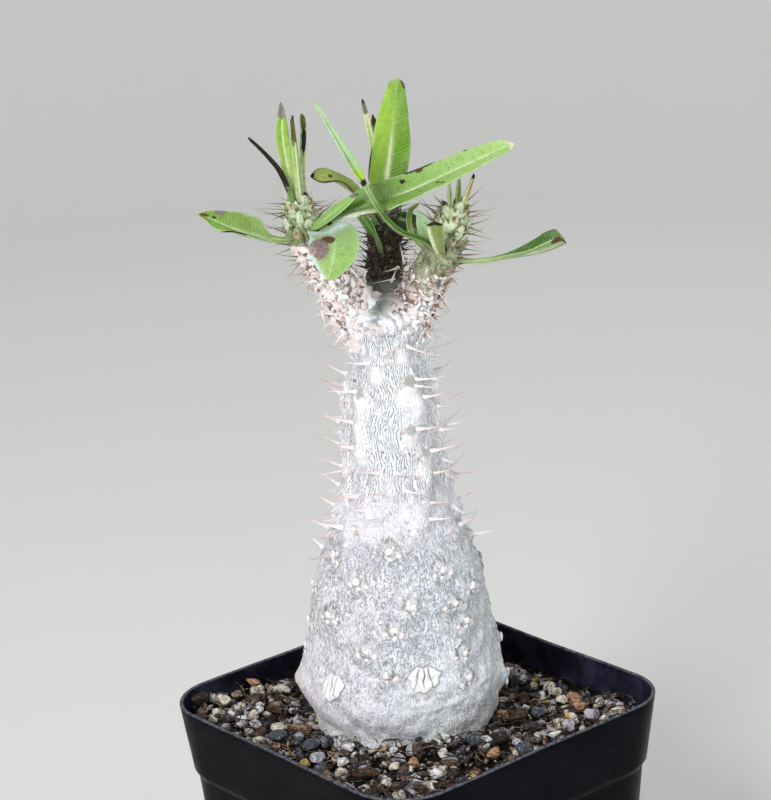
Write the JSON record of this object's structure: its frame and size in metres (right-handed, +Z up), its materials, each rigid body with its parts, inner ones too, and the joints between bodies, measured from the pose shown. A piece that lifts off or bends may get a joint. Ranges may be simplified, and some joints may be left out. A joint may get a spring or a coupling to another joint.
{
  "type": "potted caudex plant",
  "caption": "Swollen-trunked spiny succulent with short forked branches and narrow leaves, growing in grit in a square tapered nursery pot.",
  "frame": {"origin": "centre of the pot's foot, on the surface it stands on", "axes": "+Z up the plant; X and Y along the pot's sides; the plant's front looks out over the +X -Y corner"},
  "size_m": [0.102, 0.102, 0.2585],
  "materials": {
    "pot": "satin black, dusty and lightly scuffed",
    "soil": "mixed pumice, granite grit and bark chips",
    "bark": "silver-white wrinkled bark with pinkish-white spines, brown on the branches",
    "leaf": "soft green blade with a pale midrib and browned tips",
    "dry_leaf": "rolled dry black leaf, green at its foot"
  },
  "bodies": {
    "root": {"pot": "pot", "soil": "soil", "caudex": "bark", "leaf_left_side": "leaf", "leaf_left_dry": "dry_leaf", "leaf_left_tall": "leaf", "leaf_left_folded": "leaf", "leaf_left_browned": "leaf", "leaf_left_raised": "leaf", "leaf_long": "leaf", "leaf_front": "leaf", "leaf_middle_broad": "leaf", "leaf_middle_wavy": "leaf", "leaf_middle_pale": "leaf", "leaf_middle_yellow": "leaf", "leaf_middle_low": "leaf", "leaf_middle_shaded": "leaf", "leaf_right_bent": "leaf", "leaf_right_side": "leaf", "leaf_right_cut": "leaf", "leaf_right_curled": "leaf", "leaf_right_pale": "leaf", "leaf_right_young_a": "leaf", "leaf_right_young_b": "leaf", "leaf_right_brown": "leaf"}
  },
  "joints": []
}
